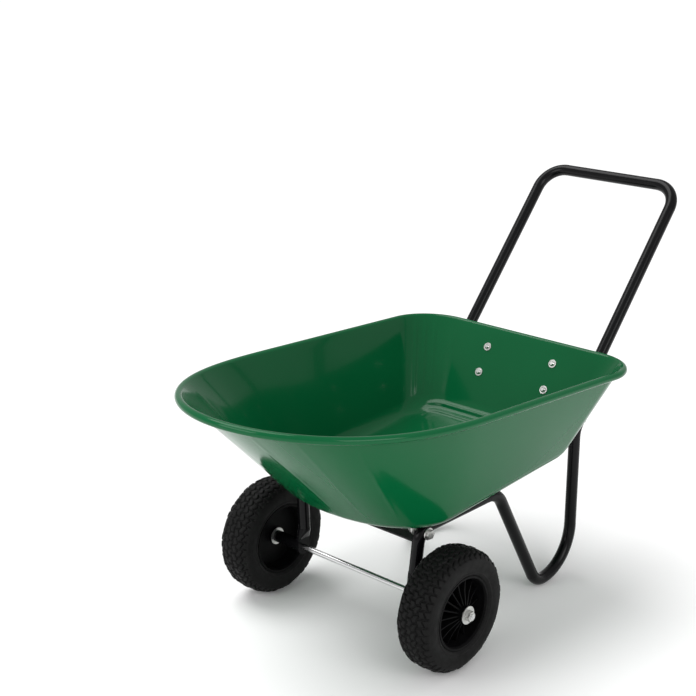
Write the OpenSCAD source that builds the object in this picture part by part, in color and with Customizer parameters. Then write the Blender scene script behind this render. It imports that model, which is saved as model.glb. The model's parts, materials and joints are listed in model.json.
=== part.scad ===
// Two-wheeled tipping garden cart: a pressed steel tray with a rolled rim on a
// bent tube frame, a push handle, two wheels on one axle and a rear tray latch.
// X points forward, Y to the left, Z up, and the ground is Z = 0.
// All dimensions are in millimetres.

/* [Wheels] */
// Outside radius of the tyres, which is also the height of the axle
tyre_r = 130; // [110:1:160]
// Width of a tyre
tyre_w = 83.4; // [60:1:100]
// Distance from the middle of the cart to the middle of a wheel
wheel_y = 252.7; // [220:1:300]
// Number of ribs on the outer face of a wheel
rib_count = 16; // [8:1:24]
// Diameter of the axle
axle_d = 12.7; // [10:0.1:16]

/* [Frame] */
// Outside diameter of the frame tubes
tube_d = 26.4; // [22:0.2:32]
// Wall thickness of the frame tubes
tube_wall = 1.5; // [1:0.1:3]
// Distance from the middle of the cart to a leg
leg_y = 184; // [150:1:220]
// Distance behind the axle of the upright part of the legs
leg_x = -525; // [-560:1:-480]
// Distance behind the axle of the handle bar
handle_x = -909; // [-960:1:-860]
// Height of the middle of the handle bar
handle_z = 832.8; // [780:1:900]
// Bend radius at the two ends of the handle bar
handle_bend = 58; // [45:1:90]

/* [Tray] */
// Thickness of the tray sheet
sheet = 1.2; // [1:0.1:2]
// Outside radius of the rolled rim
roll_r = 8.2; // [6:0.1:12]
// Middle of the rolled rim at its rear end, from the axle
rim_rear = -589.5; // [-620:0.5:-560]
// Middle of the rolled rim at its front end, from the axle
rim_front = 393; // [340:0.5:420]
// Half width to the middle of the rolled rim, at its rear end
rim_half = 307.5; // [280:0.1:330]
// Rear end of the tray floor, from the axle
floor_rear = -472; // [-500:1:-450]
// Front end of the tray floor, from the axle
floor_front = 81; // [60:1:110]
// Half width of the tray floor
floor_half = 219; // [200:1:240]
// Height of the underside of the floor, straight above the axle
floor_z = 284.1; // [275:0.1:300]

/* [Tipping pivot] */
// Pivot position behind the axle
pivot_x = -17; // [-30:1:0]
// Pivot height
pivot_z = 263; // [250:1:275]
// Diameter of the pivot rod
pivot_d = 10; // [8:1:12]

/* [Latch] */
// Outside width of the latch lever
lever_w = 23; // [16:0.5:30]
// Thickness of the lever's side plates
lever_t = 3; // [2:0.5:5]

/* [Hidden] */
$fn = 64;

// Axle position in the cart's frame, which is centred on its overall length
axle_x = -((rim_front + roll_r) + (handle_x - tube_d / 2)) / 2;

// Running clearance per side of a turning fit, and clearance per side of a bolt
running_gap = 0.05;
bolt_gap = 0.3;

// Colours
paint_black = [0.03, 0.03, 0.035];
paint_green = [0.02, 0.25, 0.12];
zinc = [0.78, 0.78, 0.76];
rubber_black = [0.04, 0.04, 0.04];

// Slope of the tray floor and of the rim, as rise per length forward
floor_slope = -0.0598;
rim_slope = 0.055;
rim_rear_z = 502.8;
rim_lift = 0.000079;
rim_taper = 0.015;
rim_corner = 106;
rim_curve_x = -62;
rim_power = 2.55;
floor_corner = 75;
floor_curve_x = -60;
floor_power = 2.4;
curve_root = 2;

// Wall and fold of the tray
rear_fold = 46;
side_fold = 33;
front_fold = 30;

// Strut eye on the axle
strut_y = 157;
eye_r = 17;
eye_t = 6;

// Splice between side tubes and handle
splice_foot = [leg_x, 0, 340];
splice_angle = 55.5;
splice_dir = [-cos(splice_angle), 0, sin(splice_angle)];
splice_out = [sin(splice_angle), 0, cos(splice_angle)];
splice_gap = 0.2;
handle_start = 20;
spigot_end = 95;
splice_bolt_at = [32, 81];
splice_bolt_d = 8;
catch_t = 3;
catch_from = -8;
catch_to = 30;
catch_end = 105;
catch_arm_w = 20;

// Hub of a wheel, measured outward from the wheel's middle plane
hub_in = -13.2;
hub_out = 43.1;
hub_r = 17;
bush_flange = 1.5;
washer_t = 2.2;
hub_play = 0.3;

// ---------------------------------------------------------------- helpers

function unit(v) = v / norm(v);
function mix(a, b, t) = a + (b - a) * t;

// Puts children at the axle's place in the cart's frame
module at_axle() {
  translate([axle_x, 0, 0]) children();
}

// Puts children at origin with their x and z axes along the given directions
module aim(origin, x_dir, z_dir) {
  y_dir = cross(z_dir, x_dir);
  multmatrix([
    [x_dir.x, y_dir.x, z_dir.x, origin.x],
    [x_dir.y, y_dir.y, z_dir.y, origin.y],
    [x_dir.z, y_dir.z, z_dir.z, origin.z],
    [0, 0, 0, 1]
  ]) children();
}

// Unit vector square to v
function square_to(v) = unit(cross(v, abs(v.y) < 0.9 ? [0, 1, 0] : [1, 0, 0]));

// Distance from a corner of a path to where its bend starts
function bend_run(p, q, r, radius) = radius * tan(acos(unit(q - p) * unit(r - q)) / 2);

module rod(p, q, d) {
  axis = unit(q - p);
  aim(p, square_to(axis), axis) cylinder(h = norm(q - p), d = d);
}

// Section of a tube, or of a solid bar when the bore is 0
module tube_section(d, bore) {
  difference() {
    circle(d = d);
    if (bore > 0) circle(d = bore);
  }
}

module straight_tube(p, q, d, bore) {
  axis = unit(q - p);
  aim(p, square_to(axis), axis) linear_extrude(height = norm(q - p)) tube_section(d, bore);
}

module bent_tube(p, q, r, radius, d, bore) {
  into = unit(q - p);
  away = unit(r - q);
  turn = acos(into * away);
  inward = unit(away - into * (into * away));
  start = q - into * radius * tan(turn / 2);
  aim(start + inward * radius, -inward, cross(-inward, into))
    rotate_extrude(angle = turn) translate([radius, 0]) tube_section(d, bore);
}

// How far a straight length runs into a bend, and how much thicker the wall is there on each face
bend_lap = 1;
bend_skin = 0.15;

// Tube along a path, with a bend radius at each inner corner
module tube_path(path, radii, d, bore) {
  last = len(path) - 1;
  for (i = [0 : last - 1]) {
    p = path[i];
    q = path[i + 1];
    axis = unit(q - p);
    from = i == 0 ? p : p + axis * bend_run(path[i - 1], p, q, radii[i - 1]);
    to = i == last - 1 ? q : q - axis * bend_run(p, q, path[i + 2], radii[i]);
    lap_from = i == 0 ? from : from - axis * bend_lap;
    lap_to = i == last - 1 ? to : to + axis * bend_lap;
    straight_tube(lap_from, lap_to, d, bore);
  }
  for (i = [1 : last - 1]) 
    bent_tube(path[i - 1], path[i], path[i + 1], radii[i - 1], d + 2 * bend_skin, bore - 2 * bend_skin);
}

module mirror_pair() {
  children();
  mirror([0, 1, 0]) children();
}

module hex_nut(af, h, bore) {
  difference() {
    cylinder(h = h, d = af / cos(30), $fn = 6);
    translate([0, 0, -1]) cylinder(h = h + 2, d = bore);
  }
}

module ring(h, outer, bore) {
  difference() {
    cylinder(h = h, d = outer);
    translate([0, 0, -1]) cylinder(h = h + 2, d = bore);
  }
}

// Hexagon bolt standing on z = 0, with its head below and its shank going up
module hex_bolt(af, head_h, d, length) {
  translate([0, 0, -head_h]) cylinder(h = head_h, d = af / cos(30), $fn = 6);
  cylinder(h = length, d = d);
}

// Round-headed bolt standing on z = 0, with its head below and its shank going up
module round_bolt(head_d, head_h, d, length) {
  translate([0, 0, -head_h]) cylinder(h = head_h * 0.6, d1 = head_d * 0.6, d2 = head_d);
  translate([0, 0, -head_h * 0.4]) cylinder(h = head_h * 0.4, d = head_d);
  cylinder(h = length, d = d);
}

// ---------------------------------------------------------------- side tubes

function rail_z(x) = floor_z + floor_slope * x - 1 - tube_d / 2;

side_path = [
  [-4.6, strut_y, 172],
  [-8, 165, 270.4],
  [-239, leg_y, rail_z(-239)],
  [-395.3, leg_y, tube_d / 2],
  [leg_x, leg_y, tube_d / 2],
  [leg_x, leg_y, splice_foot.z],
  splice_foot + splice_dir * spigot_end + [0, leg_y, 0]
];
side_bends = [32, 52, 48.5, 101, 40];

function splice_point(t, out) = splice_foot + splice_dir * t + splice_out * out + [0, leg_y, 0];

module splice_holes(d) {
  for (t = splice_bolt_at) rod(splice_point(t, -tube_d), splice_point(t, tube_d), d);
}

module pivot_cylinder(d, from, to) {
  translate([pivot_x, from, pivot_z]) rotate([-90, 0, 0]) cylinder(h = to - from, d = d);
}

// Flattened lower end of the side tube, with the axle hole
module strut_eye() {
  top = side_path[0];
  waist = 150;
  difference() {
    union() {
      hull() {
        translate([top.x, top.y, top.z - 2]) cylinder(h = 4.5, d = tube_d + 1.2, $fn = 32);
        translate([-eye_r, strut_y - eye_t / 2, waist]) cube([eye_r * 2, eye_t, 1]);
      }
      translate([0, strut_y, tyre_r]) rotate([90, 0, 0]) cylinder(h = eye_t, r = eye_r, center = true);
      translate([-eye_r, strut_y - eye_t / 2, tyre_r]) cube([eye_r * 2, eye_t, waist - tyre_r + 0.5]);
    }
    translate([0, strut_y, tyre_r]) rotate([90, 0, 0])
      cylinder(h = 20, d = axle_d + 2 * bolt_gap, center = true);
  }
}

module side_tube() {
  bore_d = tube_d - 2 * tube_wall;
  spigot_d = bore_d - 0.3;
  shoulder = splice_point(handle_start, 0);
  step = splice_point(handle_start - 4, 0);
  body = [for (i = [0 : 5]) side_path[i]];
  difference() {
    union() {
      tube_path(concat(body, [shoulder]), side_bends, tube_d, bore_d);
      straight_tube(step, splice_point(spigot_end, 0), spigot_d, spigot_d - 2 * tube_wall);
      straight_tube(step, splice_point(handle_start - 0.1, 0), bore_d + 0.2, spigot_d - 1);
      strut_eye();
    }
    splice_holes(splice_bolt_d + 2 * bolt_gap);
    pivot_cylinder(pivot_d + 2 * bolt_gap, 140, 200);
  }
}

module left_side_tube() {
  color(paint_black) at_axle() side_tube();
}

module right_side_tube() {
  color(paint_black) at_axle() mirror([0, 1, 0]) side_tube();
}

// ---------------------------------------------------------------- handle

handle_half = [
  splice_point(handle_start + 0.3, 0),
  splice_point(114.8, 0),
  [-604, leg_y, 487],
  [handle_x, leg_y, handle_z]
];

module handle() {
  right_half = [for (i = [3 : -1 : 0]) [handle_half[i].x, -handle_half[i].y, handle_half[i].z]];
  bends = [40, 40, handle_bend, handle_bend, 40, 40];
  color(paint_black) at_axle() difference() {
    tube_path(concat(handle_half, right_half), bends, tube_d, tube_d - 2 * tube_wall);
    mirror_pair() splice_holes(splice_bolt_d + 2 * bolt_gap);
  }
}

// ---------------------------------------------------------------- catch bar and splice bolts

// Children drawn flat in the plane of the catch bar: x along the splice, y across the cart
module on_splice(out) {
  aim(splice_foot + splice_out * out, splice_dir, splice_out) children();
}

catch_base = tube_d / 2 + splice_gap;

module catch_bar() {
  color(zinc) at_axle() on_splice(catch_base) difference() {
    union() {
      translate([catch_from, -leg_y - catch_arm_w / 2, 0])
        cube([catch_to - catch_from, 2 * leg_y + catch_arm_w, catch_t]);
      for (s = [-1, 1])
        translate([catch_from, s * leg_y - catch_arm_w / 2, 0])
          cube([catch_end - catch_from, catch_arm_w, catch_t]);
    }
    for (s = [-1, 1], t = splice_bolt_at)
      translate([t, s * leg_y, -1]) cylinder(h = catch_t + 2, d = splice_bolt_d + 2 * bolt_gap);
  }
}

module splice_bolts() {
  reach = catch_base + catch_t + 0.1;
  color(zinc) at_axle() on_splice(reach) for (s = [-1, 1], t = splice_bolt_at)
    translate([t, s * leg_y, 0]) rotate([180, 0, 0])
      hex_bolt(13, 5.3, splice_bolt_d, reach + tube_d / 2 + 9);
}

module splice_nuts() {
  color(zinc) at_axle() on_splice(-tube_d / 2 - 0.2) for (s = [-1, 1], t = splice_bolt_at)
    translate([t, s * leg_y, 0]) rotate([180, 0, 0]) hex_nut(13, 6.5, splice_bolt_d + 0.1);
}

// ---------------------------------------------------------------- brace rods

brace_rod_d = 8;
brace_ends = [[-194, 163.7, rail_z(-194)], [leg_x, leg_y - tube_d / 2 - 2.7, 308]];

// Round rod with a flattened pad at each end, welded to the inner side of the frame
module brace_rod() {
  along = unit(brace_ends[1] - brace_ends[0]);
  across = unit([0, 1, 0] - along * along.y);
  rod(brace_ends[0] + along * 20, brace_ends[1] - along * 20, brace_rod_d);
  for (p = brace_ends) translate(p) rotate([90, 0, 0]) cylinder(h = 5, r = 8, center = true);
  for (p = [brace_ends[0] + along * 12, brace_ends[1] - along * 12])
    aim(p, across, along) translate([-2.2, -5, -13]) cube([4.4, 10, 26]);
}

module left_brace_rod() {
  color(zinc) at_axle() brace_rod();
}

module right_brace_rod() {
  color(zinc) at_axle() mirror([0, 1, 0]) brace_rod();
}

// ---------------------------------------------------------------- front cross bar

// Flat bar welded between the two struts, below the pivot
module front_cross_bar() {
  half = 149.2;
  color(paint_black) at_axle() translate([-30, -half, 240]) cube([26, 2 * half, 4]);
}

// ---------------------------------------------------------------- axle

hub_face_in = wheel_y + hub_in - bush_flange;
hub_face_out = wheel_y + hub_out + bush_flange;
washer_in = hub_face_in - hub_play - washer_t;
washer_out = hub_face_out + hub_play;

module on_axle(y) {
  translate([0, y, tyre_r]) rotate([-90, 0, 0]) children();
}

module axle() {
  half = washer_out + washer_t + 12;
  color(zinc) at_axle() on_axle(-half) cylinder(h = 2 * half, d = axle_d);
}

// Sleeves that hold the wheels away from the struts
module axle_spacers() {
  from = strut_y + eye_t / 2 + 0.2;
  color(paint_black) at_axle() mirror_pair() on_axle(from)
    ring(washer_in - 0.1 - from, tube_d, axle_d + 0.4);
}

module inner_hub_washers() {
  color(zinc) at_axle() mirror_pair() on_axle(washer_in) ring(washer_t, 38, axle_d + 0.2);
}

module outer_hub_washers() {
  color(zinc) at_axle() mirror_pair() on_axle(washer_out) ring(washer_t, 38, axle_d + 0.2);
}

module axle_nuts() {
  color(zinc) at_axle() mirror_pair() on_axle(washer_out + washer_t + 0.1) hex_nut(19, 9, axle_d + 0.1);
}

// ---------------------------------------------------------------- tipping pivot

ear_t = 3;
ear_y = 144;
pivot_face = 180.4;
pivot_washer_t = 2;
pivot_spacer_t = 2.2;

module pivot_bolts() {
  head = pivot_face + pivot_washer_t + 0.1;
  color(zinc) at_axle() mirror_pair()
    translate([pivot_x, head, pivot_z]) rotate([90, 0, 0]) hex_bolt(17, 6.4, pivot_d, head - ear_y + 14);
}

module pivot_washers() {
  color(zinc) at_axle() mirror_pair() difference() {
    pivot_cylinder(26, pivot_face, pivot_face + pivot_washer_t);
    pivot_cylinder(pivot_d + 0.2, pivot_face - 1, pivot_face + 3);
  }
}

// Washers between the tray's ears and the side tubes
module pivot_spacers() {
  from = ear_y + ear_t + 0.2;
  color(zinc) at_axle() mirror_pair() difference() {
    pivot_cylinder(20, from, from + pivot_spacer_t);
    pivot_cylinder(pivot_d + 0.2, from - 1, from + 4);
  }
}

module pivot_nuts() {
  color(zinc) at_axle() mirror_pair()
    translate([pivot_x, ear_y - 0.4, pivot_z]) rotate([90, 0, 0]) hex_nut(17, 8, pivot_d + 0.1);
}

// ---------------------------------------------------------------- tray shell

function floor_top(x) = floor_z + floor_slope * x + sheet;
function rim_z(x) = rim_rear_z + rim_slope * (x - rim_rear) + rim_lift * pow(max(0, x - rim_curve_x), 2);

// Counts of outline points on the rear edge, a rear corner, a side and the front curve of one half
n_rear = 5;
n_corner = 9;
n_side = 7;
n_front = 15;

// Left half of a tray outline in plan, from the rear middle to the front middle
function half_outline(rear, front, half, taper, corner, curve_x, power) = concat(
  [for (i = [0 : n_rear - 1]) [rear, (half - corner) * i / n_rear]],
  [for (i = [0 : n_corner - 1]) let (a = 90 * i / n_corner)
    [rear + corner * (1 - cos(a)), half - corner + (corner - taper * corner) * sin(a)]],
  [for (i = [0 : n_side - 1]) let (x = mix(rear + corner, curve_x, i / n_side))
    [x, half - taper * (x - rear)]],
  [for (i = [0 : n_front]) let (a = 90 * i / n_front, x = mix(curve_x, front, pow(sin(a), 2 / power)))
    [x, (half - taper * (x - rear)) * pow(max(cos(a), 0), 2 / curve_root)]]
);

// Whole outline, mirrored across the middle of the cart
function outline(h) = concat(h, [for (i = [len(h) - 2 : -1 : 1]) [h[i].x, -h[i].y]]);

rim_plan = outline(
  half_outline(rim_rear, rim_front, rim_half, rim_taper, rim_corner, rim_curve_x, rim_power)
);
floor_plan = outline(
  half_outline(floor_rear, floor_front, floor_half, 0, floor_corner, floor_curve_x, floor_power)
);
ring_n = len(rim_plan);

// Outward direction in plan at a point of an outline
function plan_out(plan, i) = let (
  before = plan[(i + ring_n - 1) % ring_n], after = plan[(i + 1) % ring_n], t = after - before
) unit([t.y, -t.x]) * (-1);

// Share of a point in the rear wall, from 0 to 1, and in the front wall
function rear_share(i) = max(0, -plan_out(rim_plan, i).x);
function front_share(i) = max(0, plan_out(rim_plan, i).x);
function fold_run(i) =
  side_fold + (rear_fold - side_fold) * rear_share(i) + (front_fold - side_fold) * front_share(i);

function lift(p, z) = [p.x, p.y, z];
function rim_at(i) = lift(rim_plan[i], rim_z(rim_plan[i].x));
function fold_at(i) = lift(floor_plan[i], floor_top(floor_plan[i].x));
function out_at(i) = let (o = plan_out(rim_plan, i)) [o.x, o.y, 0];

// Lean of the wall from upright, and the point where it meets the rolled rim
function lean(i) = let (d = rim_at(i) - fold_at(i), across = d * out_at(i))
  atan2(across, d.z) - asin(roll_r / norm([across, d.z]));
function wall_top(i) = rim_at(i) + roll_r * (-cos(lean(i)) * out_at(i) + sin(lean(i)) * [0, 0, 1]);

function wall(i, s) = mix(fold_at(i), wall_top(i), s);

// Fold between floor and wall, s from 0 on the floor to 1 on the wall
function floor_edge(i) = let (p = floor_plan[i] - plan_out(floor_plan, i) * fold_run(i))
  lift(p, floor_top(p.x));
function fold_share(i) = fold_run(i) / norm(wall_top(i) - fold_at(i));
function fold(i, s) = let (a = floor_edge(i), b = fold_at(i), c = wall(i, fold_share(i)))
  mix(mix(a, b, s), mix(b, c, s), s);

// Rolled rim, from the wall over the top and round to its hidden edge
roll_end = -125;
function roll(i, s) = let (a = mix(180 - lean(i), roll_end, s))
  rim_at(i) + roll_r * (cos(a) * out_at(i) + sin(a) * [0, 0, 1]);

fold_steps = 4;
wall_steps = 5;
roll_steps = 9;
upper_rings = concat(
  [for (k = [0 : fold_steps]) [for (i = [0 : ring_n - 1]) fold(i, k / fold_steps)]],
  [for (k = [1 : wall_steps]) [for (i = [0 : ring_n - 1]) wall(i, mix(fold_share(i), 1, k / wall_steps))]],
  [for (k = [1 : roll_steps]) [for (i = [0 : ring_n - 1]) roll(i, k / roll_steps)]]
);
rings = len(upper_rings);

// Direction out through the sheet at a grid point
function sheet_out(k, i) = let (
  along = upper_rings[k][(i + 1) % ring_n] - upper_rings[k][(i + ring_n - 1) % ring_n],
  up = upper_rings[min(k + 1, rings - 1)][i] - upper_rings[max(k - 1, 0)][i]
) k == 0 ? [floor_slope, 0, -1] / norm([floor_slope, 0, -1]) : unit(cross(up, along));
lower_rings = [for (k = [0 : rings - 1])
  [for (i = [0 : ring_n - 1]) upper_rings[k][i] + sheet * sheet_out(k, i)]];

function grid_index(k, i) = k * ring_n + i % ring_n;
function band(k, base, flip) = [for (i = [0 : ring_n - 1])
  let (a = base + grid_index(k, i), b = base + grid_index(k, i + 1),
       c = base + grid_index(k + 1, i + 1), d = base + grid_index(k + 1, i))
  each flip ? [[a, c, b], [a, d, c]] : [[a, b, c], [a, c, d]]];

module tray_sheet() {
  points = concat([for (r = upper_rings) each r], [for (r = lower_rings) each r]);
  under = rings * ring_n;
  last = rings - 1;
  polyhedron(
    points,
    concat(
      [[for (i = [0 : ring_n - 1]) i]],
      [[for (i = [ring_n - 1 : -1 : 0]) under + i]],
      [for (k = [0 : last - 1]) each band(k, 0, true)],
      [for (k = [0 : last - 1]) each band(k, under, false)],
      [for (i = [0 : ring_n - 1]) each
        [[grid_index(last, i), under + grid_index(last, i + 1), grid_index(last, i + 1)],
         [grid_index(last, i), under + grid_index(last, i), under + grid_index(last, i + 1)]]]
    ),
    convexity = 8
  );
}

module tray_shell() {
  color(paint_green) at_axle() difference() {
    tray_sheet();
    wall_bolt_holes();
    mirror_pair() for (x = floor_bolt_x)
      translate([x, floor_bolt_y, 270]) cylinder(h = 40, d = floor_bolt_d + 2 * bolt_gap);
  }
}

// ---------------------------------------------------------------- tray pivot brackets

floor_bolt_d = 6;
floor_bolt_x = [-46, 6];
floor_bolt_y = 126;
bracket_from = -60;
bracket_to = 20;
flange_t = 3;

module under_floor(x, drop) {
  tilt = atan(-floor_slope);
  translate([x, 0, floor_z + floor_slope * x]) rotate([0, tilt, 0]) translate([0, 0, -drop]) children();
}

// Angle bracket: a flange bolted under the floor and an ear that hangs down on the pivot
module pivot_bracket() {
  mid = (bracket_from + bracket_to) / 2;
  length = bracket_to - bracket_from;
  flange_in = 110;
  difference() {
    union() {
      under_floor(mid, flange_t + 0.1) translate([-length / 2, flange_in, 0])
        cube([length, ear_y + ear_t - flange_in, flange_t]);
      intersection() {
        union() {
          pivot_cylinder(24, ear_y, ear_y + ear_t);
          translate([pivot_x - 12, ear_y, pivot_z]) cube([24, ear_t, 40]);
        }
        under_floor(mid, flange_t - 0.5) translate([-60, ear_y - 1, -80]) cube([120, ear_t + 2, 80]);
      }
    }
    pivot_cylinder(pivot_d + 2 * running_gap, ear_y - 1, ear_y + ear_t + 1);
    for (x = floor_bolt_x)
      translate([x, floor_bolt_y, 260]) cylinder(h = 40, d = floor_bolt_d + 2 * bolt_gap);
  }
}

module left_pivot_bracket() {
  color(zinc) at_axle() pivot_bracket();
}

module right_pivot_bracket() {
  color(zinc) at_axle() mirror([0, 1, 0]) pivot_bracket();
}

module pivot_bracket_bolts() {
  color(zinc) at_axle() mirror_pair() for (x = floor_bolt_x)
    under_floor(x, -sheet - 0.15) translate([0, floor_bolt_y, 0]) rotate([180, 0, 0])
      round_bolt(14, 3, floor_bolt_d, 13);
}

module pivot_bracket_nuts() {
  color(zinc) at_axle() mirror_pair() for (x = floor_bolt_x)
    under_floor(x, flange_t + 0.3) translate([0, floor_bolt_y, 0]) rotate([180, 0, 0])
      hex_nut(10, 5, floor_bolt_d + 0.1);
}

// ---------------------------------------------------------------- latch bracket on the rear wall

wall_bolt_d = 6;
wall_bolt_y = 92;
wall_bolt_z = [413.5, 468];
bracket_z = [404, 476];
bracket_half = 105;
bracket_plate_t = 2.5;
bracket_gap = sheet + 0.15;

// Point on the inner face of the rear wall, in the middle of the cart, at a height
function rear_wall(z) = wall(0, (z - fold_at(0).z) / (wall_top(0).z - fold_at(0).z));

bracket_low = rear_wall(bracket_z[0]);
bracket_h = norm(rear_wall(bracket_z[1]) - bracket_low);
bracket_up = unit(rear_wall(bracket_z[1]) - bracket_low);
bracket_out = cross(bracket_up, [0, 1, 0]) * (bracket_up.z > 0 ? 1 : -1);
wall_bolts = [for (s = [-1, 1], z = wall_bolt_z) rear_wall(z) + [0, s * wall_bolt_y, 0]];

latch_at = [54, 15];
latch_bolt_d = 8;
latch_ear_y = lever_w / 2 + 0.5;
latch_ear_t = 2.5;

// Point of the closed lever or its bracket: along the splice, and out from its middle line
function lever_point(p) = splice_foot + splice_dir * p[0] + splice_out * p[1];
latch_axis = lever_point(latch_at);

module on_latch(y) {
  translate([latch_axis.x, y, latch_axis.z]) rotate([-90, 0, 0]) children();
}

// Plate cut to points in x and z, from y to y + t
module side_plate(points, y, t) {
  translate([0, y + t, 0]) rotate([90, 0, 0]) linear_extrude(height = t)
    polygon([for (p = points) [p.x, p.z]]);
}

// Points of one side of a strip along points in x and z, with mitred corners
function strip_side(points, half) = [for (i = [0 : len(points) - 1]) let (
  into = unit(points[max(i, 1)] - points[max(i, 1) - 1]),
  away = unit(points[min(i + 1, len(points) - 1)] - points[min(i + 1, len(points) - 1) - 1]),
  side = [-into.z - away.z, 0, into.x + away.x]
) points[i] + side * half / (1 + into * away)];

// Strip of the given thickness along points in x and z, from y to y + w
module side_strip(points, thickness, y, w) {
  upper = strip_side(points, thickness / 2);
  lower = strip_side(points, -thickness / 2);
  side_plate(concat(upper, [for (i = [len(lower) - 1 : -1 : 0]) lower[i]]), y, w);
}

module wall_bolt_holes() {
  for (p = wall_bolts)
    aim(p, [0, 1, 0], bracket_out) cylinder(h = 40, d = wall_bolt_d + 2 * bolt_gap, center = true);
}

module latch_bracket() {
  back = bracket_low + bracket_out * (bracket_gap + bracket_plate_t - 0.5);
  ear = [
    back + bracket_up * 28, back + bracket_up * 2, latch_axis + bracket_out * 3 - bracket_up * 12,
    latch_axis + bracket_out * 9 - bracket_up * 4, latch_axis + bracket_out * 8 + bracket_up * 5,
    latch_axis + bracket_out * 2 + bracket_up * 9
  ];
  color(zinc) at_axle() difference() {
    union() {
      aim(bracket_low + bracket_out * bracket_gap, [0, 1, 0], bracket_out)
        translate([-bracket_half, -bracket_h, 0]) cube([2 * bracket_half, bracket_h, bracket_plate_t]);
      for (y = [latch_ear_y, -latch_ear_y - latch_ear_t]) side_plate(ear, y, latch_ear_t);
    }
    wall_bolt_holes();
    on_latch(-20) cylinder(h = 40, d = latch_bolt_d + 0.4);
  }
}

wall_washer_t = 1.5;

// Round-headed bolts from inside the tray, through a washer, the wall and the bracket
module latch_bracket_bolts() {
  color(zinc) at_axle() for (p = wall_bolts)
    aim(p - bracket_out * (wall_washer_t + 0.2), [0, 1, 0], bracket_out)
      round_bolt(12.5, 4.5, wall_bolt_d, 17);
}

module latch_bracket_washers() {
  color(zinc) at_axle() for (p = wall_bolts)
    aim(p - bracket_out * (wall_washer_t + 0.1), [0, 1, 0], bracket_out)
      ring(wall_washer_t, 19, wall_bolt_d + 0.2);
}

module latch_bracket_nuts() {
  color(zinc) at_axle() for (p = wall_bolts)
    aim(p + bracket_out * (bracket_gap + bracket_plate_t + 0.1), [0, 1, 0], bracket_out)
      hex_nut(10, 5, wall_bolt_d + 0.1);
}

module latch_bolt() {
  side = latch_ear_y + latch_ear_t + 0.1;
  color(zinc) at_axle() on_latch(-side) hex_bolt(13, 5, latch_bolt_d, 2 * side + 9);
}

module latch_nut() {
  color(zinc) at_axle() on_latch(latch_ear_y + latch_ear_t + 0.2) hex_nut(13, 6.5, latch_bolt_d + 0.1);
}

// ---------------------------------------------------------------- latch lever

tail_t = 5;
tail_w = lever_w - 2 * lever_t - 0.4;
grip_t = 13;
grip_w = 23;
rivet_at = [74.8, 7.7];
rivet_d = 5;
tail_path = [for (p = [[64, 11], rivet_at, [108.6, -15.1], [116.5, -65.5]]) lever_point(p)];

// Two side plates with a hook under the catch bar, a web between them and a riveted tail
module latch_lever() {
  hook = [for (p = [
    [64, 21], [54, 24.5], [44, 20], [38, 11.2], [-8.6, 11.2], [-8.6, 18], [-13, 18], [-34, 6.5], [-34, 3],
    [60, 3], [80, 1], [84, 8], [76, 15]
  ]) lever_point(p)];
  web = [for (p = [[-20, 3], [44, 3], [44, 5.5], [-20, 5.5]]) lever_point(p)];
  half = lever_w / 2;
  color(zinc) at_axle() difference() {
    union() {
      side_plate(hook, half - lever_t, lever_t);
      side_plate(hook, -half, lever_t);
      side_plate(web, -half + 1, lever_w - 2);
      side_strip(tail_path, tail_t, -tail_w / 2, tail_w);
      translate([tail_path[1].x, -half + 1, tail_path[1].z]) rotate([-90, 0, 0])
        cylinder(h = lever_w - 2, d = 9);
    }
    on_latch(-20) cylinder(h = 40, d = latch_bolt_d + 2 * running_gap);
    translate([tail_path[1].x, -20, tail_path[1].z]) rotate([-90, 0, 0])
      cylinder(h = 40, d = rivet_d + 0.1);
  }
}

// Rivet through the tail, with a head on each side
module latch_rivet() {
  half = lever_w / 2 + 0.1;
  color(zinc) at_axle() translate([tail_path[1].x, 0, tail_path[1].z]) rotate([-90, 0, 0]) {
    cylinder(h = 2 * half + 1, d = rivet_d, center = true);
    for (s = [-1, 1]) translate([0, 0, s * (half + 0.7)]) cylinder(h = 1.4, d = 9, center = true);
  }
}

// Plastic sleeve over the lever's tail
module latch_grip() {
  from = mix(tail_path[1], tail_path[2], 0.62);
  tip = tail_path[3] + unit(tail_path[3] - tail_path[2]) * 4;
  pocket = [tail_path[1], tail_path[2], mix(tail_path[3], tip, 0.05)];
  color(rubber_black) at_axle() difference() {
    side_strip([from, tail_path[2], tip], grip_t, -grip_w / 2, grip_w);
    side_strip(pocket, tail_t + 0.2, -tail_w / 2 - 0.1, tail_w + 0.2);
  }
}

// ---------------------------------------------------------------- wheels

// Ring turned about the wheel's axis from points of [radius, distance outward]
module turned(points) {
  rotate([-90, 0, 0]) rotate_extrude() polygon([for (p = points) [p[0], p[1]]]);
}

module at_wheel() {
  translate([0, wheel_y, tyre_r]) children();
}

half_w = tyre_w / 2;
rim_flange_r = 75.5;
rim_edge = 37.3;

module tyre() {
  side = [
    [78, 35], [82, 39], [92, 41.3], [102, half_w], [112, 40.6], [120, 36.5], [126, 29], [129, 18],
    [tyre_r, 6]
  ];
  inner = [[123, 8], [119, 24], [112, 33], [102, 35.5], [90, 35], [83, 32], [78.5, 29], [77.6, 31]];
  lower = [for (i = [len(side) - 1 : -1 : 0]) [side[i][0], -side[i][1]]];
  inner_low = [for (i = [len(inner) - 1 : -1 : 0]) [inner[i][0], -inner[i][1]]];
  at_wheel() turned(concat(side, lower, inner_low, inner));
}

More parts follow.
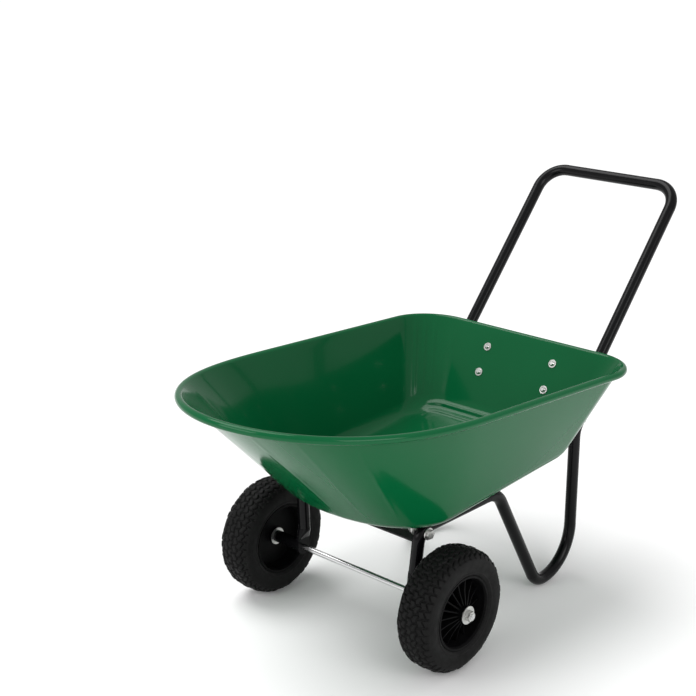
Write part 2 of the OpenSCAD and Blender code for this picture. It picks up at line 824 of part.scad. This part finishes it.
module wheel_rim() {
  barrel = [
    [77.4, 26], [77.4, 34.8], [77.8, rim_edge], [73.5, rim_edge], [71, 33], [70, 24], [66, 4], [66, -4],
    [70, -24], [71, -33], [73.5, -rim_edge], [77.8, -rim_edge], [77.4, -34.8], [77.4, -26],
    [69.5, -2], [69.5, 2]
  ];
  web_from = -6;
  web_to = -1;
  rib_h = 24;
  rib = [[web_to - 0.5, hub_r - 2], [36, hub_r - 2], [rib_h, 44], [rib_h - 6, 67.5], [web_to - 0.5, 67.5]];
  at_wheel() difference() {
    union() {
      turned(barrel);
      turned([[hub_r - 4, web_from], [68, web_from], [68, web_to], [hub_r - 4, web_to]]);
      turned([[axle_d / 2 + 2, hub_in], [hub_r, hub_in], [hub_r, hub_out], [axle_d / 2 + 2, hub_out]]);
      for (i = [0 : rib_count - 1]) rotate([0, i * 360 / rib_count, 0])
        rotate([90, 0, 90]) translate([0, 0, -1.4]) linear_extrude(height = 2.8) polygon(rib);
    }
    rotate([-90, 0, 0]) cylinder(h = 200, r = axle_d / 2 + 2.2, center = true);
  }
}

// Flanged bush at each end of the hub
module hub_bushes() {
  wall_r = axle_d / 2 + 2;
  bore_r = axle_d / 2 + running_gap;
  at_wheel() {
    turned([[bore_r, hub_in - bush_flange], [hub_r, hub_in - bush_flange], [hub_r, hub_in - 0.05],
      [wall_r, hub_in - 0.05], [wall_r, hub_in + 22], [bore_r, hub_in + 22]]);
    turned([[bore_r, hub_out + bush_flange], [hub_r, hub_out + bush_flange], [hub_r, hub_out + 0.05],
      [wall_r, hub_out + 0.05], [wall_r, hub_out - 22], [bore_r, hub_out - 22]]);
  }
}

module left_tyre() {
  color(rubber_black) at_axle() tyre();
}

module right_tyre() {
  color(rubber_black) at_axle() mirror([0, 1, 0]) tyre();
}

module left_rim() {
  color(paint_black) at_axle() wheel_rim();
}

module right_rim() {
  color(paint_black) at_axle() mirror([0, 1, 0]) wheel_rim();
}

module left_bushes() {
  color(zinc) at_axle() hub_bushes();
}

module right_bushes() {
  color(zinc) at_axle() mirror([0, 1, 0]) hub_bushes();
}

left_side_tube();
right_side_tube();
handle();
catch_bar();
splice_bolts();
splice_nuts();
left_brace_rod();
right_brace_rod();
front_cross_bar();
axle();
axle_spacers();
inner_hub_washers();
outer_hub_washers();
axle_nuts();
pivot_bolts();
pivot_washers();
pivot_spacers();
pivot_nuts();
tray_shell();
left_pivot_bracket();
right_pivot_bracket();
pivot_bracket_bolts();
pivot_bracket_nuts();
latch_bracket();
latch_bracket_bolts();
latch_bracket_washers();
latch_bracket_nuts();
latch_bolt();
latch_nut();
latch_lever();
latch_grip();
latch_rivet();
left_tyre();
left_rim();
left_bushes();
right_tyre();
right_rim();
right_bushes();
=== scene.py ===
"""Two-wheeled tipping garden cart, dressed over its CAD frame.

X points forward, Y to the left and Z up. Sizes in this file are in metres.
"""

import json
import math

import bpy
import numpy as np
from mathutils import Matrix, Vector


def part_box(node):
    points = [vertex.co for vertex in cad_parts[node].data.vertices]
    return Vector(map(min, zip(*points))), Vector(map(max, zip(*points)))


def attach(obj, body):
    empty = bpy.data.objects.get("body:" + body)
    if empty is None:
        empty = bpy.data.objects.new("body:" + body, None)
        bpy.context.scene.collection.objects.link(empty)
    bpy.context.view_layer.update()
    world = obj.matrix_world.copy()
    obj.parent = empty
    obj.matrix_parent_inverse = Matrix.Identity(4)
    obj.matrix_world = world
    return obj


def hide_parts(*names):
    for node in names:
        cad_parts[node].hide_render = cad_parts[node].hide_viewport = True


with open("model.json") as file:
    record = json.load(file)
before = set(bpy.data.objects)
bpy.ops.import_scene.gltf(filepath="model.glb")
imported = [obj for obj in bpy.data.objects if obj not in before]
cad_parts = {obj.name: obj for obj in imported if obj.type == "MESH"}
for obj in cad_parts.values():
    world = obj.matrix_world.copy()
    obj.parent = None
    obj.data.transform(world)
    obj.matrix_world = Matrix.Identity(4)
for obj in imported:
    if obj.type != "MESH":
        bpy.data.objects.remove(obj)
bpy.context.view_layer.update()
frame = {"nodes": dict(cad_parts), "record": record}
nodes = frame["nodes"]

AXLE_X = sum(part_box("axle")[i].x for i in (0, 1)) / 2
WHEEL_R = 0.130
WHEEL_Y = 0.2527
SHEET = 0.0012


# ---------------------------------------------------------------- material helpers

class Nodes:
    """Short calls to build one material's nodes, in the object's own coordinates."""

    def __init__(self, name):
        self.material = bpy.data.materials.new(name)
        self.material.use_nodes = True
        self.tree = self.material.node_tree
        self.shader = self.tree.nodes["Principled BSDF"]
        coordinates = self.tree.nodes.new("ShaderNodeTexCoord")
        self.place = coordinates.outputs["Object"]

    def link(self, source, target):
        self.tree.links.new(source, target)

    def set(self, **values):
        for name, value in values.items():
            self.shader.inputs[name.replace("_", " ")].default_value = value

    def noise(self, scale, detail=4.0, rough=0.55, stretch=None):
        node = self.tree.nodes.new("ShaderNodeTexNoise")
        node.inputs["Scale"].default_value = scale
        node.inputs["Detail"].default_value = detail
        node.inputs["Roughness"].default_value = rough
        place = self.place
        if stretch:
            mapping = self.tree.nodes.new("ShaderNodeMapping")
            mapping.inputs["Scale"].default_value = stretch
            self.link(place, mapping.inputs["Vector"])
            place = mapping.outputs["Vector"]
        self.link(place, node.inputs["Vector"])
        return node.outputs["Fac"]

    def ramp(self, factor, *stops):
        node = self.tree.nodes.new("ShaderNodeValToRGB")
        elements = node.color_ramp.elements
        while len(elements) < len(stops):
            elements.new(0.5)
        for element, (position, colour) in zip(elements, stops):
            element.position = position
            element.color = (*colour, 1.0) if len(colour) == 3 else colour
        self.link(factor, node.inputs["Fac"])
        return node.outputs["Color"]

    def span(self, factor, low, high, out_low, out_high):
        """Maps low..high to out_low..out_high."""
        node = self.tree.nodes.new("ShaderNodeMapRange")
        node.inputs["From Min"].default_value = low
        node.inputs["From Max"].default_value = high
        node.inputs["To Min"].default_value = out_low
        node.inputs["To Max"].default_value = out_high
        self.link(factor, node.inputs["Value"])
        return node.outputs["Result"]

    def mix(self, factor, a, b):
        """Blends from a to b, each a colour or another node's output."""
        node = self.tree.nodes.new("ShaderNodeMix")
        node.data_type = "RGBA"
        self.link(factor, node.inputs["Factor"])
        for socket, value in ((node.inputs[6], a), (node.inputs[7], b)):
            if isinstance(value, tuple):
                socket.default_value = (*value, 1.0)
            else:
                self.link(value, socket)
        return node.outputs[2]

    def painted_edge_highlight(self, low, high):
        """Mask for a painted highlight: 1 on sharp convex edges, from Cycles' pointiness."""
        geometry = self.tree.nodes.new("ShaderNodeNewGeometry")
        return self.span(geometry.outputs["Pointiness"], low, high, 0.0, 1.0)

    def colour(self, source):
        self.link(source, self.shader.inputs["Base Color"])

    def roughness(self, source):
        self.link(source, self.shader.inputs["Roughness"])

    def bump(self, height, distance, strength=1.0):
        node = self.tree.nodes.new("ShaderNodeBump")
        node.inputs["Distance"].default_value = distance
        node.inputs["Strength"].default_value = strength
        self.link(height, node.inputs["Height"])
        self.link(node.outputs["Normal"], self.shader.inputs["Normal"])


def tray_paint():
    m = Nodes("green_gloss_paint")
    broad = m.noise(2.2, 3.0)
    base = m.ramp(broad, (0.3, (0.001, 0.088, 0.027)), (0.7, (0.002, 0.100, 0.032)))
    # Sharp edges such as the rim crest get a lighter green: a painted highlight, not wear.
    m.colour(m.mix(m.painted_edge_highlight(0.6, 0.8), base, (0.006, 0.15, 0.06)))
    m.roughness(m.span(m.noise(30.0, 5.0), 0.3, 0.7, 0.11, 0.15))
    m.set(Specular_IOR_Level=0.15, Coat_Weight=0.08, Coat_Roughness=0.03)
    m.bump(m.noise(240.0, 2.0), 0.00002, 0.4)
    return m.material


def frame_paint():
    m = Nodes("black_gloss_paint")
    m.colour(m.ramp(m.noise(9.0), (0.35, (0.002, 0.002, 0.0025)), (0.7, (0.0035, 0.0035, 0.004))))
    m.roughness(m.span(m.noise(26.0, 4.0), 0.3, 0.7, 0.2, 0.27))
    m.set(Specular_IOR_Level=0.13, Coat_Weight=0.05, Coat_Roughness=0.05)
    m.bump(m.noise(300.0, 2.0), 0.00002, 0.4)
    return m.material


def zinc_plate():
    m = Nodes("zinc_plate")
    patches = m.noise(70.0, 4.0)
    stops = (0.3, (0.5, 0.5, 0.49)), (0.55, (0.66, 0.66, 0.64)), (0.8, (0.74, 0.73, 0.69))
    m.colour(m.ramp(patches, *stops))
    m.roughness(m.span(m.noise(240.0, 4.0), 0.3, 0.7, 0.24, 0.42))
    m.set(Metallic=1.0)
    m.bump(m.noise(900.0, 2.0), 0.00003, 0.6)
    return m.material


def axle_steel():
    m = Nodes("bright_axle_steel")
    drawn = m.noise(260.0, 4.0, stretch=(1.0, 0.02, 1.0))
    m.colour(m.ramp(drawn, (0.3, (0.56, 0.56, 0.57)), (0.7, (0.78, 0.78, 0.78))))
    m.roughness(m.span(drawn, 0.3, 0.7, 0.12, 0.24))
    m.set(Metallic=1.0)
    m.bump(drawn, 0.00003, 0.5)
    return m.material


def tyre_rubber():
    m = Nodes("tyre_rubber")
    m.colour(m.ramp(m.noise(38.0, 6.0), (0.3, (0.003, 0.003, 0.003)), (0.75, (0.006, 0.006, 0.006))))
    m.roughness(m.span(m.noise(90.0, 5.0), 0.3, 0.7, 0.5, 0.68))
    m.set(Specular_IOR_Level=0.13)
    m.bump(m.noise(1400.0, 3.0), 0.00012, 0.6)
    return m.material


def rim_plastic():
    m = Nodes("black_rim")
    m.colour(m.ramp(m.noise(30.0), (0.3, (0.002, 0.002, 0.002)), (0.7, (0.004, 0.004, 0.0045))))
    m.roughness(m.span(m.noise(120.0, 4.0), 0.3, 0.7, 0.36, 0.48))
    m.set(Specular_IOR_Level=0.06)
    m.bump(m.noise(1100.0, 2.0), 0.00005, 0.5)
    return m.material


def moulded_plastic(name, grain):
    m = Nodes(name)
    m.colour(m.ramp(m.noise(40.0), (0.3, (0.006, 0.006, 0.006)), (0.7, (0.011, 0.011, 0.011))))
    m.roughness(m.span(m.noise(150.0, 4.0), 0.3, 0.7, 0.42, 0.58))
    m.set(Specular_IOR_Level=0.25)
    m.bump(m.noise(grain, 2.0), 0.00012, 0.7)
    return m.material


SLOT_MATERIALS = {
    "green_paint": tray_paint(),
    "black_paint": frame_paint(),
    "black_rim": rim_plastic(),
    "zinc_plate": zinc_plate(),
    "axle_steel": axle_steel(),
    "bush_plastic": moulded_plastic("bush_plastic", 1500.0),
    "grip_plastic": moulded_plastic("grip_plastic", 900.0),
    "tyre_rubber": tyre_rubber(),
}


def dress_cad_nodes():
    """Gives every CAD node the material its record entry names."""
    for entry in frame["record"]["subparts"]:
        node = nodes[entry["node"]]
        node.data.materials.clear()
        node.data.materials.append(SLOT_MATERIALS[entry["material_slot"]])


# ---------------------------------------------------------------- mesh helpers

def make_object(name, points, faces, slot, body):
    mesh = bpy.data.meshes.new(name)
    mesh.from_pydata([tuple(map(float, p)) for p in points], [], faces)
    mesh.update()
    for face in mesh.polygons:
        face.use_smooth = True
    mesh.materials.append(SLOT_MATERIALS[slot])
    piece = bpy.data.objects.new(name, mesh)
    bpy.context.scene.collection.objects.link(piece)
    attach(piece, body)
    return piece


def grid_faces(rows, columns, start=0, flip=False):
    """Quads of a grid that closes on itself along its columns."""
    faces = []
    for r in range(rows - 1):
        for c in range(columns):
            a = start + r * columns + c
            b = start + r * columns + (c + 1) % columns
            quad = (a, b, b + columns, a + columns)
            faces.append(quad[::-1] if flip else quad)
    return faces


def smooth_step(values, low, high):
    t = np.clip((values - low) / (high - low), 0.0, 1.0)
    return t * t * (3.0 - 2.0 * t)


# ---------------------------------------------------------------- tray

# The outlines, heights and folds equal those of the CAD tray, measured from the axle
FLOOR_Z = 0.2841
FLOOR_SLOPE = -0.0598
RIM_REAR_Z = 0.5028
RIM_SLOPE = 0.055
RIM_LIFT = 0.079
RIM_ROLL = 0.0082
RIM = dict(rear=-0.5895, front=0.393, half=0.3075, taper=0.015, corner=0.106, curve_x=-0.062, power=2.55)
FLOOR = dict(rear=-0.472, front=0.081, half=0.219, taper=0.0, corner=0.075, curve_x=-0.060, power=2.4)
CURVE_ROOT = 2.0
# Points of half an outline along the rear, the rear corner, the side and the front curve
OUTLINE_COUNTS = (14, 56, 22, 96)
REAR_FOLD, SIDE_FOLD, FRONT_FOLD = 0.046, 0.033, 0.030
ROLL_END = math.radians(-165)
FOLD_RINGS, WALL_RINGS, ROLL_RINGS = 29, 15, 24
# Two beads along the rear fold, as shares of the way from floor to wall
BEAD_AT = (0.40, 0.68)
BEAD_WIDTH = 0.055
BEAD_HEIGHT = 0.0022
# Marks in the wall, as degrees round from the front
CREASES_AT = (14.0, 36.0, 57.0)
CREASE_WIDTH = 0.8
CREASE_DEPTH = 0.0009
FLUTES_AT = (118.0, 132.0, 146.0)
FLUTE_WIDTH = 2.4
FLUTE_HEIGHT = 0.0016


def floor_top(x):
    """Height of the upper face of the tray floor."""
    return FLOOR_Z + FLOOR_SLOPE * x + SHEET


def rim_z(x):
    """Height of the middle of the rolled rim."""
    lift = np.maximum(0.0, x - RIM["curve_x"])
    return RIM_REAR_Z + RIM_SLOPE * (x - RIM["rear"]) + RIM_LIFT * lift ** 2


def half_outline(rear, front, half, taper, corner, curve_x, power, counts):
    """Left half of a tray outline in plan, from the rear middle to the front middle."""
    n_rear, n_corner, n_side, n_front = counts
    points = [(rear, (half - corner) * i / n_rear) for i in range(n_rear)]
    for i in range(n_corner):
        a = math.pi / 2 * i / n_corner
        y = half - corner + corner * (1 - taper) * math.sin(a)
        points.append((rear + corner * (1 - math.cos(a)), y))
    for i in range(n_side):
        x = rear + corner + (curve_x - rear - corner) * i / n_side
        points.append((x, half - taper * (x - rear)))
    for i in range(n_front + 1):
        a = math.pi / 2 * i / n_front
        x = curve_x + (front - curve_x) * math.sin(a) ** (2 / power)
        points.append((x, (half - taper * (x - rear)) * max(math.cos(a), 0.0) ** (2 / CURVE_ROOT)))
    return points


def outline(shape):
    """Whole outline, mirrored across the middle of the cart."""
    half = half_outline(**shape, counts=OUTLINE_COUNTS)
    return np.array(half + [(x, -y) for x, y in half[-2:0:-1]])


def plan_out(plan):
    """Outward directions in plan at the points of an outline."""
    along = np.roll(plan, -1, axis=0) - np.roll(plan, 1, axis=0)
    out = np.stack([-along[:, 1], along[:, 0], np.zeros(len(plan))], axis=1)
    return out / np.linalg.norm(out, axis=1, keepdims=True)


def hump(values, middle, width):
    """Bell curve that is 1 in the middle."""
    return np.exp(-((values - middle) / width) ** 2)


def press_marks(out):
    """How far flutes in the rear corners and creases round the nose stand inward at each column."""
    facing = np.abs(np.degrees(np.arctan2(out[:, 1], out[:, 0])))
    flutes = sum(hump(facing, at, FLUTE_WIDTH) for at in FLUTES_AT)
    creases = sum(hump(facing, at, CREASE_WIDTH) for at in CREASES_AT)
    return FLUTE_HEIGHT * flutes - CREASE_DEPTH * creases


def tray_rings():
    """Rings of points up the inner face of the tray, from the flat floor to the end of the rolled rim."""
    rim_plan, floor_plan = outline(RIM), outline(FLOOR)
    out, floor_out = plan_out(rim_plan), plan_out(floor_plan)
    up = np.array([0.0, 0.0, 1.0])
    rim = np.column_stack([rim_plan, rim_z(rim_plan[:, 0])])
    corner = np.column_stack([floor_plan, floor_top(floor_plan[:, 0])])
    reach = rim - corner
    across = (reach * out).sum(axis=1)
    lean = np.arctan2(across, reach[:, 2]) - np.arcsin(RIM_ROLL / np.hypot(across, reach[:, 2]))
    top = rim + RIM_ROLL * (np.sin(lean)[:, None] * up - np.cos(lean)[:, None] * out)
    rear_share = np.maximum(0.0, -out[:, 0])
    front_share = np.maximum(0.0, out[:, 0])
    run = SIDE_FOLD + (REAR_FOLD - SIDE_FOLD) * rear_share + (FRONT_FOLD - SIDE_FOLD) * front_share
    edge = corner - floor_out * run[:, None]
    edge[:, 2] = floor_top(edge[:, 0])
    share = (run / np.linalg.norm(top - corner, axis=1))[:, None]
    turn = corner + (top - corner) * share
    inward = -(out + floor_out) / 2
    bead = BEAD_HEIGHT * smooth_step(rear_share, 0.75, 0.98)[:, None] * (up + inward)
    marks = press_marks(out)[:, None] * inward
    rings = []
    for s in np.linspace(0.0, 1.0, FOLD_RINGS):
        fold = (edge * (1 - s) + corner * s) * (1 - s) + (corner * (1 - s) + turn * s) * s
        rings.append(fold + bead * sum(hump(s, at, BEAD_WIDTH) for at in BEAD_AT))
    for s in np.linspace(0.0, 1.0, WALL_RINGS)[1:]:
        wall = corner + (top - corner) * (share + (1 - share) * s)
        rings.append(wall + marks * smooth_step(s, 0.0, 0.12) * (1 - smooth_step(s, 0.82, 0.96)))
    for s in np.linspace(0.0, 1.0, ROLL_RINGS + 1)[1:]:
        a = (math.pi - lean) + (ROLL_END - (math.pi - lean)) * s
        rings.append(rim + RIM_ROLL * (np.cos(a)[:, None] * out + np.sin(a)[:, None] * up))
    return np.array(rings)


def ring_normals(rings):
    """Directions out through the sheet, from its inner face to its outer face."""
    along = np.roll(rings, -1, axis=1) - np.roll(rings, 1, axis=1)
    up = np.empty_like(rings)
    up[1:-1] = rings[2:] - rings[:-2]
    up[0], up[-1] = rings[1] - rings[0], rings[-1] - rings[-2]
    out = np.cross(up, along)
    out /= np.linalg.norm(out, axis=2, keepdims=True)
    out[0] = np.array([FLOOR_SLOPE, 0.0, -1.0]) / math.hypot(FLOOR_SLOPE, 1.0)
    return out


def build_tray():
    """Pressed sheet with both faces, closed along the hidden edge of the roll."""
    rings = tray_rings()
    rings[..., 0] += AXLE_X
    rows, columns = rings.shape[:2]
    under = rings + SHEET * ring_normals(rings)
    points = np.concatenate([rings.reshape(-1, 3), under.reshape(-1, 3)])
    second = rows * columns
    faces = grid_faces(rows, columns, 0, flip=True) + grid_faces(rows, columns, second)
    last = (rows - 1) * columns
    for c in range(columns):
        d = (c + 1) % columns
        faces.append((last + c, last + d, second + last + d, second + last + c)[::-1])
    faces.append(tuple(range(columns)))
    faces.append(tuple(second + c for c in range(columns - 1, -1, -1)))
    piece = make_object("tray_pressing", points, faces, "green_paint", "tray")
    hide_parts("tray_shell")
    return piece


# ---------------------------------------------------------------- tyres

TREAD_PITCHES = 44
STEPS_PER_PITCH = 16
TREAD_DEPTH = 0.0044
# Width of a row of blocks, and how far the rows swing to each side
TREAD_ROW = 0.0125
TREAD_ZIGZAG = 0.0026
# The blocks lean forward by this many pitches for each metre from the middle
TREAD_LEAN = 9.0
# Radii between which the tread fades in up the shoulder
SHOULDER = (0.1135, 0.1175)
# Points of the outer half section once it is evenly spaced
SECTION_POINTS = 64

# Outer half section of the tyre as (radius, offset outward), from the bead to the crown
TYRE_OUTSIDE = np.array([
    (0.0778, 0.0345), (0.0792, 0.0372), (0.0815, 0.0388), (0.0838, 0.0398), (0.0848, 0.0408),
    (0.0858, 0.0408), (0.0868, 0.0402), (0.0900, 0.0407), (0.0950, 0.0414), (0.1000, 0.0417),
    (0.1060, 0.0413), (0.1110, 0.0404), (0.1150, 0.0392), (0.1190, 0.0370), (0.1225, 0.0335),
    (0.1255, 0.0290), (0.1278, 0.0235), (0.1291, 0.0170), (0.1298, 0.0090), (0.1300, 0.0000),
])
# Inner face of the tyre, from one bead to the other
TYRE_INSIDE = np.array([
    (0.0770, -0.0300), (0.0900, -0.0350), (0.1120, -0.0330), (0.1200, -0.0150),
    (0.1200, 0.0150), (0.1120, 0.0330), (0.0900, 0.0350), (0.0770, 0.0300),
])
# A point inside the rubber, to tell outward from inward
TYRE_CORE = np.array([0.10, 0.0])


def resample(points, count):
    """Points spaced evenly along a line."""
    steps = np.linalg.norm(np.diff(points, axis=0), axis=1)
    length = np.concatenate([[0.0], np.cumsum(steps)])
    at = np.linspace(0.0, length[-1], count)
    return np.stack([np.interp(at, length, points[:, i]) for i in (0, 1)], axis=1)


def tread_height(turn, offset):
    """0 in a groove and up to 1 on a block, for turns counted in tread pitches and offsets in metres."""
    height = np.zeros_like(offset)
    pitch = 2 * math.pi * WHEEL_R / TREAD_PITCHES
    for row in range(-3, 4):
        count = turn + 0.5 * (abs(row) > 1) + 0.5 * (row == 0) + TREAD_LEAN * np.abs(offset)
        from_edge = (0.5 - np.abs(count % 1.0 - 0.5)) * pitch
        wave = TREAD_ZIGZAG * (4 * np.abs(turn % 1.0 - 0.5) - 1)
        from_side = TREAD_ROW / 2 - np.abs(offset - wave - row * TREAD_ROW)
        block = smooth_step(from_edge, 0.0012, 0.0028) * smooth_step(from_side, 0.0006, 0.0019)
        lump = 0.84 + 0.16 * np.sin(7.9 * np.floor(count) + 3.3 * row)
        height = np.maximum(height, block * lump)
    return height


def build_tyre(name, side):
    """Tyre with tread blocks, on the left for side 1 and on the right for side -1."""
    outer = resample(TYRE_OUTSIDE, SECTION_POINTS)
    section = np.concatenate([outer, outer[-2::-1] * np.array([1.0, -1.0])])
    steps = STEPS_PER_PITCH * TREAD_PITCHES
    angle = np.linspace(0.0, 2 * math.pi, steps, endpoint=False)
    along = np.gradient(section, axis=0)
    normal = np.stack([-along[:, 1], along[:, 0]], axis=1)
    normal /= np.linalg.norm(normal, axis=1, keepdims=True)
    normal *= np.sign((normal * (section - TYRE_CORE)).sum(axis=1))[:, None]
    on_tread = smooth_step(section[:, 0], *SHOULDER)
    turns = angle[None, :] / (2 * math.pi) * TREAD_PITCHES
    height = tread_height(np.broadcast_to(turns, (len(section), steps)),
                          np.broadcast_to(section[:, 1:2], (len(section), steps)))
    drop = -TREAD_DEPTH * (1.0 - height) * on_tread[:, None]
    radius = section[:, 0:1] + normal[:, 0:1] * drop
    offset = section[:, 1:2] + normal[:, 1:2] * drop
    radius = np.concatenate([radius, np.broadcast_to(TYRE_INSIDE[:, 0:1], (len(TYRE_INSIDE), steps))])
    offset = np.concatenate([offset, np.broadcast_to(TYRE_INSIDE[:, 1:2], (len(TYRE_INSIDE), steps))])
    x = AXLE_X + radius * np.sin(angle)
    z = WHEEL_R + radius * np.cos(angle)
    y = side * (WHEEL_Y + offset)
    points = np.stack([x, y, z], axis=2).reshape(-1, 3)
    rows = len(radius)
    faces = grid_faces(rows, steps, 0, flip=side > 0)
    for c in range(steps):
        d = (c + 1) % steps
        quad = ((rows - 1) * steps + c, (rows - 1) * steps + d, d, c)
        faces.append(quad[::-1] if side > 0 else quad)
    piece = make_object(name + "_with_tread", points, faces, "tyre_rubber", name.replace("tyre", "wheel"))
    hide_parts(name)
    return piece


# ---------------------------------------------------------------- studio

FLOOR_HALF = 40.0
WORLD_STRENGTH = 0.6

# Softboxes as name, place, size and power; both look at the middle of the cart
SOFTBOX_TARGET = (0.0, 0.0, 0.4)
SOFTBOXES = (
    ("left_softbox", (0.6, 3.2, 1.8), (2.2, 1.6), 38.0),
    ("front_softbox", (3.4, -0.8, 1.9), (2.0, 1.8), 40.0),
)
OVERHEAD_WIDTH = math.radians(44)
OVERHEAD_STRENGTH = 1.9
OVERHEAD_TILT = (math.radians(24), math.radians(6), 0.0)

CAMERA_PLACE = (2.0415 + AXLE_X, 1.85323, 1.52567)
CAMERA_YAW, CAMERA_PITCH = 3.88498, 0.317178
CAMERA_LENS = 74.77


def build_floor():
    h = FLOOR_HALF
    corners = [(-h, -h, 0.0), (h, -h, 0.0), (h, h, 0.0), (-h, h, 0.0)]
    mesh = bpy.data.meshes.new("studio_floor")
    mesh.from_pydata(corners, [], [(0, 1, 2, 3)])
    m = Nodes("studio_floor")
    m.colour(m.ramp(m.noise(1.2, 2.0), (0.3, (0.935, 0.935, 0.935)), (0.7, (0.95, 0.95, 0.95))))
    m.set(Roughness=0.85)
    mesh.materials.append(m.material)
    floor = bpy.data.objects.new("studio_floor", mesh)
    bpy.context.scene.collection.objects.link(floor)


def build_softbox(name, place, size, power):
    light = bpy.data.lights.new(name, "AREA")
    light.shape = "RECTANGLE"
    light.size, light.size_y = size
    light.energy = power
    lamp = bpy.data.objects.new(name, light)
    lamp.location = place
    lamp.rotation_euler = (Vector(SOFTBOX_TARGET) - Vector(place)).to_track_quat("-Z", "Y").to_euler()
    bpy.context.scene.collection.objects.link(lamp)


def build_overhead():
    """Wide overhead light that falls evenly on the whole floor."""
    light = bpy.data.lights.new("overhead", "SUN")
    light.angle = OVERHEAD_WIDTH
    light.energy = OVERHEAD_STRENGTH
    lamp = bpy.data.objects.new("overhead", light)
    lamp.location = (0.0, 0.0, 5.0)
    lamp.rotation_euler = OVERHEAD_TILT
    bpy.context.scene.collection.objects.link(lamp)


def build_studio():
    build_floor()
    world = bpy.data.worlds.new("studio")
    world.use_nodes = True
    background = world.node_tree.nodes["Background"]
    background.inputs["Color"].default_value = (1.0, 1.0, 1.0, 1.0)
    background.inputs["Strength"].default_value = WORLD_STRENGTH
    bpy.context.scene.world = world
    bpy.context.scene.view_settings.view_transform = "Standard"
    for softbox in SOFTBOXES:
        build_softbox(*softbox)
    build_overhead()


def build_camera():
    level = math.cos(CAMERA_PITCH)
    forward = Vector((math.cos(CAMERA_YAW) * level, math.sin(CAMERA_YAW) * level, -math.sin(CAMERA_PITCH)))
    data = bpy.data.cameras.new("camera")
    data.sensor_width = 36.0
    data.lens = CAMERA_LENS
    camera = bpy.data.objects.new("camera", data)
    camera.location = CAMERA_PLACE
    camera.rotation_euler = forward.to_track_quat("-Z", "Y").to_euler()
    bpy.context.scene.collection.objects.link(camera)
    bpy.context.scene.camera = camera


build_camera()
build_studio()
dress_cad_nodes()
build_tray()
build_tyre("left_tyre", 1)
build_tyre("right_tyre", -1)
